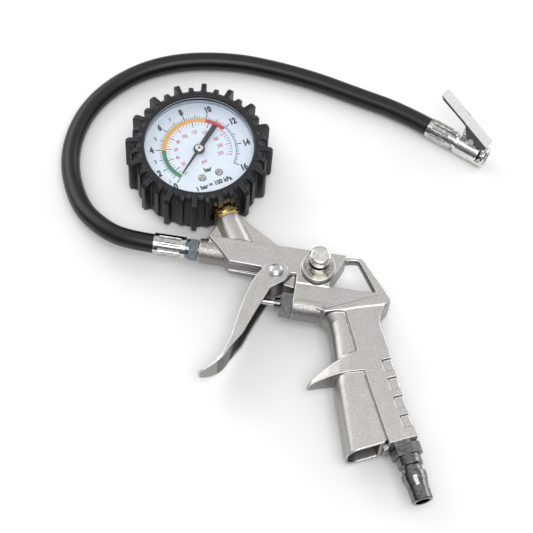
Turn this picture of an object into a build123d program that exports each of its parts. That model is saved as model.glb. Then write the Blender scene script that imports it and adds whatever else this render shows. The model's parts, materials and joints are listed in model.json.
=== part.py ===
from build123d import *
import math
import os

os.makedirs("parts", exist_ok=True)

# ---------------------------------------------------------------------------
# Tyre inflator with gauge. Millimetres, +Z up.
# The tool lies on its right side: +X along the barrel to the rear, +Y from the
# handle to the gauge, +Z out of the dial. Everything below is drawn about the
# trigger pin, whose axis at the middle plane of the casting is the point PIN.
# ---------------------------------------------------------------------------
PIN = (-1.786, 2.652, 14.2)        # trigger pin in the part's own frame

# gun
BARREL_Y = 10.35                 # air passage axis above the pin
NOSE_R = 6.6
NOSE_X = -41.8
PAD = 7.6                        # half thickness of the web and the raised side panels
CHAMBER_Y = -13.3                # valve axis below the pin
CHAMBER_R = 7.4
GRIP_HALF = 10.4
GRIP_FRONT_HALF = 9.7
LOOP_HALF = 2.7
GRIP_LEAN = 24.4                 # handle axis from straight down, degrees
PLUG_AT = (76.9, -80.95)          # where the quick-connect plug leaves the handle

# gauge
GAUGE_C = (-51.0, 65.6)          # dial centre
GAUGE_LEAN = 31.3                # stem leans forward from +Y, degrees
BOOT_R = 34.9
TALL_LUG_R = 39.6
SHORT_LUG_R = 37.0
LUGS = 16
LUG_PHASE = 19.0                 # one tall lug, degrees from +X of the gauge frame
OPENING_R = 29.3
DIAL_Z = 8.0
STEM_TOP = 40.4                  # boss end, measured from the dial centre

# trigger
TRIGGER_DEG = 17.0
EAR_IN = 8.3
EAR_OUT = 9.9

# hose
HOSE_R = 5.1
HOSE_BORE = 3.0
ROUTE = [(-66.0, 10.35, 0.0), (-80.9, 10.35, 0.0), (-95.0, 15.8, -1.8), (-110.4, 29.2, -5.6),
         (-122.0, 56.6, -9.0), (-120.6, 83.0, -9.0), (-110.1, 104.5, -9.0), (-91.7, 122.0, -9.0),
         (-69.5, 132.0, -9.0), (-42.9, 136.3, -9.0), (-20.3, 135.3, -9.0), (5.3, 131.6, -9.0),
         (28.5, 125.7, -9.0), (54.25, 119.26, -8.1), (71.4, 111.8, -8.1)]

# chuck
CHUCK_DEG = -23.5                # chuck axis in the XY plane
CHUCK_ROLL = 25.0                # lever side leans from +Z towards +Y
CHUCK_R = 6.0
VALVE_BORE_R = 4.1
VALVE_BORE_L = 10.2
CHUCK_DEG_PRESS = 20.0


def at(x, y, z=0.0):
    return (PIN[0] + x, PIN[1] + y, PIN[2] + z)


def level(h):
    """Plane parallel to the middle plane of the casting, h above it."""
    return Plane(origin=at(0, 0, h))


def along_x(x, y, z=0.0):
    return Plane(origin=at(x, y, z), x_dir=(0, 1, 0), z_dir=(1, 0, 0))


def keep(piece, name):
    piece.part.label = name
    export_step(piece.part, "parts/" + name + ".step")


# gauge frame: x to three o'clock, y to twelve o'clock, z out of the dial
GC, GS = math.cos(math.radians(GAUGE_LEAN)), math.sin(math.radians(GAUGE_LEAN))


def gauge(h):
    return Plane(origin=at(GAUGE_C[0], GAUGE_C[1], h), x_dir=(GC, GS, 0))


def stem(d):
    """Plane square to the stem, d from the dial centre, facing the dial."""
    return Plane(origin=at(GAUGE_C[0] + GS * d, GAUGE_C[1] - GC * d, 0),
                 x_dir=(GC, GS, 0), z_dir=(-GS, GC, 0))


# handle axis
HS, HC = math.sin(math.radians(GRIP_LEAN)), math.cos(math.radians(GRIP_LEAN))


def handle(t):
    """Plane square to the handle axis, t below the plug's shoulder, facing down."""
    return Plane(origin=at(PLUG_AT[0] + HS * t, PLUG_AT[1] - HC * t, 0),
                 x_dir=(0, 0, 1), z_dir=(HS, -HC, 0))


# chuck frame
CA = (math.cos(math.radians(CHUCK_DEG)), math.sin(math.radians(CHUCK_DEG)), 0.0)
CB = (-CA[1], CA[0], 0.0)
_r = math.radians(CHUCK_ROLL)
CN = (math.sin(_r) * CB[0], math.sin(_r) * CB[1], math.cos(_r))
CH = (math.cos(_r) * CB[0], math.cos(_r) * CB[1], -math.sin(_r))
CO = ROUTE[-1]


def chuck_at(t, n=0.0, w=0.0):
    return at(*[CO[i] + CA[i] * t + CN[i] * n + CH[i] * w for i in range(3)])


def chuck_round(t):
    """Plane square to the chuck axis, t from the hose's end, facing the mouth."""
    return Plane(origin=chuck_at(t), x_dir=CH, z_dir=CA)


def chuck_side(w):
    """Plane along the chuck: x to the mouth, y to the lever; w towards the near side."""
    return Plane(origin=chuck_at(0, 0, -w), x_dir=CA, z_dir=(-CH[0], -CH[1], -CH[2]))


def chuck_up(t, n):
    """Plane facing the lever, at t along the axis and n above it."""
    return Plane(origin=chuck_at(t, n), x_dir=CA, z_dir=CN)


# ===========================================================================
# GUN BODY: one casting
# ===========================================================================
with BuildPart() as gun_body:
    # barrel: round below, flat sided above
    with BuildSketch(along_x(NOSE_X, BARREL_Y)):
        Circle(NOSE_R)
    extrude(amount=50)
    with BuildSketch(level(-6.4)):
        with BuildLine():
            Polyline((-37.6, 16.5), (-36.6, BARREL_Y), (8.0, BARREL_Y), (8.0, 16.5), close=True)
        make_face()
    extrude(amount=12.8)
    # raised side panels of the barrel, over the middle and up to the loop
    for lo in (3.6, -PAD):
        with BuildSketch(level(lo)):
            with BuildLine():
                Polyline((-38.2, 16.5), (-29.4, 8.0), (-24.8, 3.2), (-7.5, 2.6), (-7.5, 16.5), close=True)
            make_face()
        extrude(amount=PAD - 3.6)
    # web from the barrel down to the valve chamber
    with BuildSketch(level(-PAD)):
        with BuildLine():
            Polyline((-8.0, 16.5), (-8.0, 3.0), (-5.6, -1.0), (0, -6.0), (6.4, -1.5), (8.3, 1.6), (10.9, 1.6),
                     (10.9, -3.1), (28.3, -3.1), (28.2, -1.9), (35.4, 14.8), (35.4, 16.5), close=True)
        make_face()
    extrude(amount=2 * PAD)
    # boss for the trigger pin
    with BuildSketch(level(-8.0)):
        Circle(6.2)
    extrude(amount=16.0)
    # link between the boss and the chamber front
    with BuildSketch(level(-3.6)):
        with BuildLine():
            Polyline((2.0, 4.0), (2.0, -3.6), (11.5, -5.2), (11.5, 4.0), close=True)
        make_face()
    extrude(amount=7.2)
    # bleed valve boss
    with BuildSketch(level(6.0)):
        with Locations((21.5, 5.9)):
            Circle(8.8)
    extrude(amount=6.0)
    # valve chamber
    with BuildSketch(along_x(10.9, 0)):
        with Locations((CHAMBER_Y, 0)):
            Circle(CHAMBER_R)
        with Locations(((CHAMBER_Y - 3.2) / 2.0, 0)):
            Rectangle(-3.2 - CHAMBER_Y, 2 * CHAMBER_R - 0.2)
    extrude(amount=36)
    # chamber to handle: flat sided block under the loop
    with BuildSketch(level(-CHAMBER_R + 0.1)):
        with BuildLine():
            Polyline((12.5, -2.9), (54.6, -2.2), (61.0, -6.8), (58.3, -11.3), (40.0, -22.0), (24.0, -16.0),
                     (12.5, -11.5), close=True)
        make_face()
    extrude(amount=2 * CHAMBER_R - 0.2)
    # loop at the rear
    with BuildSketch(level(-LOOP_HALF)):
        with BuildLine():
            Polyline((30.0, 16.5), (35.4, 17.6), (43.6, 18.3), (46.0, 16.2), (60.3, -0.9), (61.0, -6.4), (52.0, -6.4),
                     (53.6, -1.6), (42.2, 15.6), (41.0, 16.1), (35.2, 15.4), (30.0, 8.0), close=True)
        make_face()
    extrude(amount=2 * LOOP_HALF)
    # bevel round the inside of the loop
    for plane in (level(LOOP_HALF), Plane(origin=at(0, 0, -LOOP_HALF), x_dir=(1, 0, 0), z_dir=(0, 0, -1))):
        flip = 1 if plane.z_dir.Z > 0 else -1
        with BuildSketch(plane):
            with BuildLine():
                Polyline((36.6, flip * 1.0), (36.6, flip * 16.35), (41.3, flip * 17.0), (43.0, flip * 16.1),
                         (54.5, flip * -1.2), (50.0, flip * 1.0), close=True)
            make_face()
        extrude(amount=-1.0, taper=42, mode=Mode.SUBTRACT)
    # front part of the handle, round in front
    with BuildSketch(level(-GRIP_FRONT_HALF)) as sk_front:
        with BuildLine():
            Polyline((27.5, -20.4), (31.0, -24.2), (33.2, -31.0), (36.3, -44.0), (38.4, -56.5), (43.2, -73.6),
                     (48.6, -93.1), (66.6, -84.4), (70.4, -76.0), (60.0, -40.0), (50.0, -16.5), (38.0, -14.5), close=True)
        make_face()
    extrude(amount=2 * GRIP_FRONT_HALF)
    front_edges = [e for e in gun_body.edges()
                   if abs(abs(e.center().Z - PIN[2]) - GRIP_FRONT_HALF) < 0.01
                   and -90 < e.center().Y - PIN[1] < -22 and e.center().X - PIN[0] < 47]
    fillet(front_edges, radius=7.0)

with BuildPart() as gun_rear:
    # rear part of the handle, thicker, with the ridge on top
    with BuildSketch(level(-GRIP_HALF)):
        with BuildLine():
            Polyline((26.1, -17.7), (57.9, -2.9), (60.6, -6.2), (58.0, -10.6), (56.6, -15.4), (56.7, -20.8),
                     (62.8, -34.2), (77.5, -68.9), (82.8, -78.2), (69.0, -84.6), (62.8, -71.4), (51.6, -46.9),
                     (47.4, -38.0), (39.4, -17.9), (37.9, -16.8), (34.5, -17.4), close=True)
        make_face()
    extrude(amount=2 * GRIP_HALF)
    # raised band along the top
    with BuildSketch(level(-GRIP_HALF - 0.4)):
        with BuildLine():
            Polyline((26.6, -18.1), (57.9, -3.2), (60.9, -6.2), (58.8, -9.4), (45.0, -13.4), (36.0, -16.6), (28.2, -19.0), close=True)
        make_face()
    extrude(amount=2 * GRIP_HALF + 0.8)
    # finger guard in front of the handle
    with BuildSketch(level(-GRIP_HALF)):
        with BuildLine():
            Spline((49.0, -36.2), (42.4, -40.6), (36.0, -45.4), (30.0, -50.9), (24.3, -57.9),
                   tangents=[(-0.9, -0.44), (-0.45, -0.9)])
            Line((24.3, -57.9), (25.4, -58.6))
            Spline((25.4, -58.6), (29.4, -55.9), (35.6, -53.0), (43.0, -50.2), (53.4, -47.4),
                   tangents=[(0.7, 0.7), (0.97, 0.24)])
            Line((53.4, -47.4), (49.0, -36.2))
        make_face()
    extrude(amount=2 * GRIP_HALF)
    # the guard narrows to a rounded tip
    with BuildSketch(Plane(origin=at(0, -70, 0), x_dir=(1, 0, 0), z_dir=(0, 1, 0))):
        with BuildLine():
            Polyline((20, 11.5), (20, 0.0), (23.8, 0.0), (24.3, 1.7), (26.6, 3.8), (30.0, 5.6), (34.5, 7.6), (39.5, 9.3), (45.0, 10.6), (45, 11.5), close=True)
        make_face()
        mirror(about=Plane.XZ)
    extrude(amount=30, mode=Mode.SUBTRACT)
    # four finger grooves across the back edge
    for i in range(4):
        gx, gy = 66.9 + i * 4.17, -41.3 - i * 9.45
        with BuildSketch(Plane(origin=at(gx, gy, -GRIP_HALF - 1), x_dir=(HC, HS, 0))):
            Rectangle(12.8, 6.6)
        extrude(amount=2.6, mode=Mode.SUBTRACT)
        with BuildSketch(Plane(origin=at(gx, gy, GRIP_HALF - 1.6), x_dir=(HC, HS, 0))):
            Rectangle(12.8, 6.6)
        extrude(amount=2.6, mode=Mode.SUBTRACT)
        with BuildSketch(Plane(origin=at(gx + 2.6 * HC, gy + 2.6 * HS, -GRIP_HALF - 1), x_dir=(HC, HS, 0))):
            with Locations((1.6, 0)):
                Rectangle(3.2, 6.6)
        extrude(amount=2 * GRIP_HALF + 2, mode=Mode.SUBTRACT)

with BuildPart() as gauge_boss:
    # conical boss for the stem, leaning forward, with its two gussets
    with BuildSketch(stem(62.5)):
        Circle(7.4)
    with BuildSketch(stem(STEM_TOP)):
        Circle(6.8)
    loft()
    with BuildSketch(level(-1.6)):
        with BuildLine():
            Polyline((-24.2, 33.6), (-30.0, 20.0), (-12.0, 12.0), (4.5, 16.0), close=True)
        make_face()
        with BuildLine():
            Polyline((-34.4, 28.4), (-39.0, 17.4), (-36.0, 14.0), (-24.0, 14.0), (-28.0, 27.0), close=True)
        make_face()
    extrude(amount=3.2)

with BuildPart() as pocket:
    # the open core in the front half of the handle, rounded like the outside
    with BuildSketch(level(-8.3)):
        with BuildLine():
            Polyline((51.3, -97.0), (44.74, -73.2), (41.5, -61.7), (50.6, -58.6), (56.2, -67.0), (65.2, -85.6),
                     (66.0, -90.0), close=True)
        make_face()
    extrude(amount=16.6)
    fillet([e for e in pocket.edges() if abs(abs(e.center().Z - PIN[2]) - 8.3) < 0.01
            and e.center().X - PIN[0] < 49 and e.center().Y - PIN[1] < -63], radius=5.5)

with gun_body:
    add(gun_rear.part)
    add(gauge_boss.part)
    # foot of the parting wall beside the plug
    with BuildSketch(level(-5.0)):
        with BuildLine():
            Polyline((66.2, -84.0), (68.6, -82.6), (69.3, -85.6), (67.2, -87.0), close=True)
        make_face()
    extrude(amount=10.0)
    # narrow groove along the front edge of the rear panel
    for z0 in (GRIP_FRONT_HALF - 0.5, -GRIP_FRONT_HALF - 1.5):
        with BuildSketch(level(z0)):
            with BuildLine():
                Polyline((38.2, -17.9), (39.2, -18.2), (47.4, -38.4), (46.8, -38.7), (38.5, -18.7), (37.9, -18.3), close=True)
            make_face()
            with BuildLine():
                Polyline((52.7, -49.2), (63.1, -71.9), (68.9, -84.4), (68.3, -84.7), (62.5, -72.2), (52.1, -49.4), close=True)
            make_face()
        extrude(amount=2.0, mode=Mode.SUBTRACT)

    # nose bore, threaded for the hose fitting, and the air passage behind it
    with BuildSketch(along_x(NOSE_X, BARREL_Y)):
        Circle(4.4)
    extrude(amount=10.0, mode=Mode.SUBTRACT)
    with BuildSketch(along_x(NOSE_X, BARREL_Y)):
        Circle(2.2)
    extrude(amount=66.0, mode=Mode.SUBTRACT)
    # stem socket and its passage
    with BuildSketch(stem(STEM_TOP)):
        Circle(4.8)
    extrude(amount=-12.0, mode=Mode.SUBTRACT)
    with BuildSketch(stem(STEM_TOP)):
        Circle(1.5)
    extrude(amount=-24.5, mode=Mode.SUBTRACT)
    # valve bore from the front, and its passage to the handle
    with BuildSketch(along_x(10.0, CHAMBER_Y)):
        Circle(5.0)
    extrude(amount=27.0, mode=Mode.SUBTRACT)
    with BuildSketch(along_x(10.0, CHAMBER_Y)):
        Circle(2.2)
    extrude(amount=36.0, mode=Mode.SUBTRACT)
    # transfer port from the valve to the barrel
    with BuildSketch(Plane(origin=at(15.6, CHAMBER_Y, 0), x_dir=(1, 0, 0), z_dir=(0, 1, 0))):
        Circle(1.1)
    extrude(amount=22.5, mode=Mode.SUBTRACT)
    # bleed valve bore
    with BuildSketch(level(12.0)):
        with Locations((21.5, 5.9)):
            Circle(4.5)
    extrude(amount=-14.0, mode=Mode.SUBTRACT)
    # trigger pin bore
    with BuildSketch(level(-9.0)):
        Circle(2.0)
    extrude(amount=18.0, mode=Mode.SUBTRACT)
    # handle: inlet thread, air passage, and the cast pocket in the front half
    with BuildSketch(handle(0)):
        Circle(5.2)
    extrude(amount=-11.0, mode=Mode.SUBTRACT)
    with BuildSketch(handle(0)):
        Circle(3.0)
    extrude(amount=-76.5, mode=Mode.SUBTRACT)
    add(pocket.part, mode=Mode.SUBTRACT)
    # washer seat of the inlet plug
    with BuildSketch(handle(-0.8)):
        Circle(7.2)
    extrude(amount=6.0, mode=Mode.SUBTRACT)
keep(gun_body, "gun_body")

# ===========================================================================
# TRIGGER
# ===========================================================================
front_pts = [(-9.4, -2.6), (-12.3, -11.0), (-14.5, -20.2), (-16.0, -30.0), (-17.3, -40.0), (-19.6, -48.0),
             (-24.2, -54.2), (-31.3, -58.6)]
WEB_T = 1.6


def offset_points(points, d):
    out = []
    for i, p in enumerate(points):
        a = points[max(i - 1, 0)]
        b = points[min(i + 1, len(points) - 1)]
        dx, dy = b[0] - a[0], b[1] - a[1]
        n = math.hypot(dx, dy)
        out.append((p[0] - dy / n * d, p[1] + dx / n * d))
    return out


back_pts = offset_points(front_pts, WEB_T)
with BuildPart() as trigger_lever:
    for z0 in (EAR_IN, -EAR_OUT):
        with BuildSketch(level(z0)):
            Circle(6.7)
            with BuildLine():
                Polyline((-5.6, 3.6), (-7.6, -0.5), (-9.4, -2.6), (-12.3, -11.0), (-14.5, -20.2), (-16.0, -30.0),
                         (-17.3, -40.0), (-19.6, -48.0), (-21.6, -53.6), (-15.6, -43.6), (-11.6, -36.8),
                         (-8.2, -27.0), (-5.4, -19.6), (-1.5, -9.8), (3.2, -5.9), close=True)
            make_face()
        extrude(amount=EAR_OUT - EAR_IN)
    with BuildSketch(level(-EAR_OUT)):
        with BuildLine():
            Spline(*front_pts)
            Line(front_pts[-1], back_pts[-1])
            Spline(*back_pts[::-1])
            Line(back_pts[0], front_pts[0])
        make_face()
    extrude(amount=2 * EAR_OUT)
    # pivot holes
    with BuildSketch(level(-12)):
        Circle(2.05)
    extrude(amount=24, mode=Mode.SUBTRACT)
    # rounded finger tip, seen along the handle
    with BuildSketch(Plane(origin=at(0, -46.0, 0), x_dir=(1, 0, 0), z_dir=(0, 1, 0))):
        with BuildLine():
            Polyline((-34, 12), (-34, 0), (-31.5, 0.0), (-31.0, 2.4), (-29.2, 4.5), (-26.4, 6.4), (-22.8, 8.5), (-19.6, 9.95), (-19.6, 12), close=True)
        make_face()
        mirror(about=Plane.XZ)
    extrude(amount=-20, mode=Mode.SUBTRACT)
keep(trigger_lever, "trigger_lever")

with BuildPart() as trigger_pin:
    with BuildSketch(Plane(origin=at(0, 0, 0), x_dir=(1, 0, 0), z_dir=(0, -1, 0))):
        with BuildLine():
            Polyline((0, -13.2), (1.5, -13.2), (2.0, -12.7), (2.0, 10.05), (3.8, 10.05), (3.8, 11.2), (3.3, 12.0),
                     (2.3, 12.6), (1.2, 12.9), (0, 13.0), close=True)
        make_face()
    revolve(axis=Axis(at(0, 0, 0), (0, 0, 1)))
keep(trigger_pin, "trigger_pin")

with BuildPart() as pin_retainer:
    with BuildSketch(level(-11.4)):
        Circle(4.2)
        Circle(2.0, mode=Mode.SUBTRACT)
    extrude(amount=1.2)
    fillet(pin_retainer.faces().sort_by(Axis.Z)[0].outer_wire().edges(), radius=0.6)
keep(pin_retainer, "trigger_pin_retainer")

# ===========================================================================
# VALVE
# ===========================================================================
ROD_R = 1.6
with BuildPart() as packing_nut:
    with BuildSketch(along_x(4.6, CHAMBER_Y)):
        RegularPolygon(radius=7.5, side_count=6, rotation=0)
    extrude(amount=6.3)
    with BuildSketch(along_x(1.6, CHAMBER_Y)):
        Circle(3.0)
    extrude(amount=3.0)
    with BuildSketch(along_x(10.9, CHAMBER_Y)):
        Circle(5.0)
    extrude(amount=3.4)
    with BuildSketch(along_x(0, CHAMBER_Y)):
        Circle(ROD_R + 0.06)
    extrude(amount=20, mode=Mode.SUBTRACT)
    with BuildSketch(along_x(9.4, CHAMBER_Y)):
        Circle(2.9)
    extrude(amount=1.6, mode=Mode.SUBTRACT)
    # chamfered corners of the hexagon
    with BuildSketch(Plane(origin=at(0, CHAMBER_Y, 0), x_dir=(1, 0, 0), z_dir=(0, 0, 1))):
        with BuildLine():
            Polyline((3.9, 5.9), (3.9, 8.2), (5.6, 8.2), (5.4, 7.6), (4.6, 6.6), close=True)
        make_face()
    revolve(axis=Axis(at(0, CHAMBER_Y, 0), (1, 0, 0)), mode=Mode.SUBTRACT)
keep(packing_nut, "valve_packing_nut")

with BuildPart() as stem_oring:
    with BuildSketch(Plane(origin=at(0, CHAMBER_Y, 0), x_dir=(1, 0, 0), z_dir=(0, 0, 1))):
        with Locations((10.2, 2.3)):
            Circle(0.58)
    revolve(axis=Axis(at(0, CHAMBER_Y, 0), (1, 0, 0)))
keep(stem_oring, "valve_stem_oring")

SEAT_X = 21.0
with BuildPart() as valve_seat:
    with BuildSketch(along_x(SEAT_X - 4.2, CHAMBER_Y)):
        Circle(5.0)
        Circle(2.7, mode=Mode.SUBTRACT)
    extrude(amount=4.2)
    with BuildSketch(along_x(14.3, CHAMBER_Y)):
        Circle(5.0)
        Circle(3.9, mode=Mode.SUBTRACT)
    extrude(amount=2.5)
    with BuildSketch(Plane(origin=at(15.6, CHAMBER_Y, 0), x_dir=(1, 0, 0), z_dir=(0, 1, 0))):
        Circle(1.1)
    extrude(amount=6.0, mode=Mode.SUBTRACT)
keep(valve_seat, "valve_seat")

TIP_X = -10.73
with BuildPart() as valve_stem:
    with BuildSketch(Plane(origin=at(0, CHAMBER_Y, 0), x_dir=(1, 0, 0), z_dir=(0, 0, 1))):
        with BuildLine():
            ThreePointArc((TIP_X, 0), (TIP_X + ROD_R * (1 - math.cos(math.pi / 4)), ROD_R * math.sin(math.pi / 4)),
                          (TIP_X + ROD_R, ROD_R))
            Polyline((TIP_X + ROD_R, ROD_R), (SEAT_X + 1.4, ROD_R), (SEAT_X + 1.4, 3.9), (SEAT_X + 3.2, 3.9),
                     (SEAT_X + 3.2, 1.9), (SEAT_X + 7.0, 1.9), (SEAT_X + 7.0, 0), (TIP_X, 0))
        make_face()
    revolve(axis=Axis(at(0, CHAMBER_Y, 0), (1, 0, 0)))
keep(valve_stem, "valve_stem")

with BuildPart() as poppet_seal:
    with BuildSketch(along_x(SEAT_X + 0.05, CHAMBER_Y)):
        Circle(3.7)
        Circle(ROD_R, mode=Mode.SUBTRACT)
    extrude(amount=1.35)
keep(poppet_seal, "valve_poppet_seal")


def coil(plane, turns, length, radius, wire):
    """Closed helix of round wire, standing on plane."""
    pitch = (length - wire) / turns
    with BuildPart() as c:
        with BuildLine():
            h = Helix(pitch=pitch, height=length - wire, radius=radius)
        with BuildSketch(Plane(origin=h @ 0, z_dir=h % 0)):
            Circle(wire / 2)
        sweep(is_frenet=True)
    return plane.offset(wire / 2).location * c.part


with BuildPart() as valve_spring:
    add(coil(along_x(SEAT_X + 3.25, CHAMBER_Y), 7, 37.0 - SEAT_X - 3.35, 2.9, 0.7))
keep(valve_spring, "valve_spring")

# ===========================================================================
# BLEED VALVE on the left side
# ===========================================================================
BX, BY = 21.5, 5.9
with BuildPart() as bleed_bushing:
    with BuildSketch(level(12.0)):
        with Locations((BX, BY)):
            RegularPolygon(radius=8.1, side_count=6, rotation=13)
    extrude(amount=3.7)
    with BuildSketch(level(15.7)):
        with Locations((BX, BY)):
            Circle(6.4)
    extrude(amount=1.2)
    with BuildSketch(level(16.9)):
        with Locations((BX, BY)):
            Circle(5.9)
    extrude(amount=1.3)
    with BuildSketch(level(6.0)):
        with Locations((BX, BY)):
            Circle(4.5)
    extrude(amount=6.0)
    with BuildSketch(level(5.0)):
        with Locations((BX, BY)):
            Circle(1.95)
    extrude(amount=14.0, mode=Mode.SUBTRACT)
    with BuildSketch(Plane(origin=at(BX, BY, 0), x_dir=(1, 0, 0), z_dir=(0, -1, 0))):
        with BuildLine():
            Polyline((7.2, 16.0), (9.0, 16.0), (9.0, 14.6), (8.3, 14.9), close=True)
        make_face()
    revolve(axis=Axis(at(BX, BY, 0), (0, 0, 1)), mode=Mode.SUBTRACT)
keep(bleed_bushing, "bleed_bushing")

with BuildPart() as bleed_button:
    with BuildSketch(Plane(origin=at(BX, BY, 0), x_dir=(1, 0, 0), z_dir=(0, -1, 0))):
        with BuildLine():
            Polyline((0, 3.6), (3.3, 3.6), (3.3, 4.7), (1.5, 4.7), (1.5, 20.1), (5.5, 20.1), (5.5, 23.0))
            ThreePointArc((5.5, 23.0), (5.0, 24.25), (3.7, 24.75))
            Polyline((3.7, 24.75), (0.9, 24.9), (0.6, 24.4), (0, 24.4), (0, 3.6))
        make_face()
    revolve(axis=Axis(at(BX, BY, 0), (0, 0, 1)))
keep(bleed_button, "bleed_button")

with BuildPart() as bleed_seal:
    with BuildSketch(level(4.7)):
        with Locations((BX, BY)):
            Circle(3.1)
            Circle(1.5, mode=Mode.SUBTRACT)
    extrude(amount=1.25)
keep(bleed_seal, "bleed_seal")

with BuildPart() as bleed_spring:
    add(coil(Plane(origin=at(BX, BY, -1.95)), 4, 5.5, 2.6, 0.6))
keep(bleed_spring, "bleed_spring")

# ===========================================================================
# INLET PLUG in the foot of the handle
# ===========================================================================
with BuildPart() as inlet_plug:
    with BuildSketch(handle(0)):
        RegularPolygon(radius=8.1, side_count=6, rotation=-17)
    extrude(amount=6.3)
    # everything below the hexagon, turned about the handle axis
    with BuildSketch(Plane(origin=handle(0).origin, x_dir=(HS, -HC, 0), z_dir=(0, 0, 1))):
        with BuildLine():
            Polyline((-10.6, 0), (-10.6, 5.2), (6.4, 5.2), (6.4, 6.5), (11.2, 6.5), (11.9, 5.9), (11.9, 5.4), (14.6, 5.4),
                     (15.4, 6.5), (17.6, 6.5), (22.6, 5.5), (29.6, 5.5), (30.1, 5.1), (30.1, 0), close=True)
        make_face()
    revolve(axis=Axis(handle(0).origin, (HS, -HC, 0)))
    with BuildSketch(handle(-10.6)):
        Circle(2.6)
    extrude(amount=12, mode=Mode.SUBTRACT)
    with BuildSketch(handle(0)):
        Circle(3.7)
    extrude(amount=31, mode=Mode.SUBTRACT)
keep(inlet_plug, "inlet_plug")

with BuildPart() as inlet_seal:
    with BuildSketch(handle(-0.8)):
        Circle(7.1)
        Circle(5.2, mode=Mode.SUBTRACT)
    extrude(amount=0.8)
keep(inlet_seal, "inlet_seal")

# ===========================================================================
# GAUGE
# ===========================================================================
CASE_R = 31.0
with BuildPart() as gauge_boot:
    # ring with a front lip and a back lip
    with BuildSketch(Plane(origin=at(GAUGE_C[0], GAUGE_C[1], 0), x_dir=(1, 0, 0), z_dir=(0, -1, 0))):
        with BuildLine():
            Polyline((CASE_R, -12.2), (CASE_R, 8.4), (32.0, 8.4), (32.0, 14.4), (OPENING_R, 14.4), (OPENING_R, 15.2),
                     (30.0, 15.9), (31.6, 15.8), (33.6, 14.6), (BOOT_R, 12.4), (BOOT_R + 0.4, -13.0), (34.0, -14.2), (21.0, -14.2),
                     (21.0, -12.2), close=True)
        make_face()
    revolve(axis=Axis(at(GAUGE_C[0], GAUGE_C[1], 0), (0, 0, 1)))
    # tall and short lugs, carried over the shoulder and cut back at the rear
    for i in range(2 * LUGS):
        turn = math.radians(GAUGE_LEAN + LUG_PHASE + i * 180.0 / LUGS)
        out = TALL_LUG_R if i % 2 == 0 else SHORT_LUG_R
        with BuildSketch(Plane(origin=at(GAUGE_C[0], GAUGE_C[1], 0), x_dir=(math.cos(turn), math.sin(turn), 0),
                               z_dir=(math.sin(turn), -math.cos(turn), 0))):
            with BuildLine():
                Polyline((30.8, 15.9), (33.4, 16.1), (out - 1.6, 15.1), (out, 13.2), (out, -9.8), (BOOT_R + 0.9, -13.2),
                         (BOOT_R - 1.2, -13.4), (BOOT_R - 1.2, 10.0), (32.9, 13.4), (32.7, 14.8), (30.8, 15.0), close=True)
            make_face()
        extrude(amount=1.45 if i % 2 == 0 else 1.25, both=True)
    # way out for the stem
    with BuildSketch(Plane(origin=stem(28).origin, x_dir=(GC, GS, 0), z_dir=(-GS, GC, 0))):
        Rectangle(14.5, 15.5)
    extrude(amount=-16, mode=Mode.SUBTRACT)
    with BuildSketch(Plane(origin=stem(36.2).origin, x_dir=(GC, GS, 0), z_dir=(-GS, GC, 0))):
        Rectangle(17.5, 40)
    extrude(amount=-8, mode=Mode.SUBTRACT)
keep(gauge_boot, "gauge_boot")

with BuildPart() as gauge_case:
    with BuildSketch(gauge(-12.2)):
        Circle(CASE_R)
    extrude(amount=23.6)
    with BuildSketch(gauge(-11.2)):
        Circle(CASE_R - 1.0)
    extrude(amount=23.0, mode=Mode.SUBTRACT)
    with BuildSketch(stem(26)):
        Rectangle(12.0, 12.0)
    extrude(amount=-8, mode=Mode.SUBTRACT)
keep(gauge_case, "gauge_case")

with BuildPart() as lens_gasket:
    with BuildSketch(gauge(11.4)):
        Circle(CASE_R)
        Circle(29.9, mode=Mode.SUBTRACT)
    extrude(amount=0.6)
keep(lens_gasket, "lens_gasket")

with BuildPart() as gauge_lens:
    with BuildSketch(gauge(12.0)):
        Circle(CASE_R)
    extrude(amount=1.6)
keep(gauge_lens, "gauge_lens")

with BuildPart() as gauge_bezel:
    with BuildSketch(Plane(origin=at(GAUGE_C[0], GAUGE_C[1], 0), x_dir=(1, 0, 0), z_dir=(0, -1, 0))):
        with BuildLine():
            Polyline((CASE_R, 8.4), (32.0, 8.4), (32.0, 14.4), (29.7, 14.4), (29.5, 13.6), (CASE_R, 13.6), close=True)
        make_face()
    revolve(axis=Axis(at(GAUGE_C[0], GAUGE_C[1], 0), (0, 0, 1)))
keep(gauge_bezel, "gauge_bezel")

with BuildPart() as dial_plate:
    with BuildSketch(gauge(DIAL_Z)):
        Circle(29.8)
        Circle(1.4, mode=Mode.SUBTRACT)
        with Locations((-4.8, -16.3), (4.8, -16.3)):
            Circle(0.9, mode=Mode.SUBTRACT)
    extrude(amount=0.5)

with BuildPart() as stop_pin:
    STOP = math.radians(270 - 17.0 + 31.3 - GAUGE_LEAN)   # clockwise from straight down, in the part's frame
    with BuildSketch(level(DIAL_Z)):
        with Locations((GAUGE_C[0] + 16.3 * math.cos(STOP), GAUGE_C[1] + 16.3 * math.sin(STOP))):
            Circle(0.5)
    extrude(amount=2.9)
with dial_plate:
    add(stop_pin.part, mode=Mode.SUBTRACT)
keep(dial_plate, "dial_plate")
keep(stop_pin, "stop_pin")

# brass stem: thread, square wrench part, and the block inside the case
with BuildPart() as gauge_socket:
    with BuildSketch(stem(STEM_TOP)):
        Circle(4.8)
    extrude(amount=-11.5)
    with BuildSketch(stem(STEM_TOP)):
        Rectangle(12.0, 12.0)
    extrude(amount=STEM_TOP - 30.4)
    chamfer(gauge_socket.edges().filter_by(lambda e: abs(e.length - (STEM_TOP - 30.4)) < 0.01), length=1.3)
    with BuildSketch(stem(STEM_TOP - 1.6)):
        Circle(8.6)
        Circle(5.2, mode=Mode.SUBTRACT)
    extrude(amount=0.9, mode=Mode.SUBTRACT)
    with BuildSketch(stem(30.4)):
        Rectangle(11.9, 11.9)
    extrude(amount=1.6)

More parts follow.
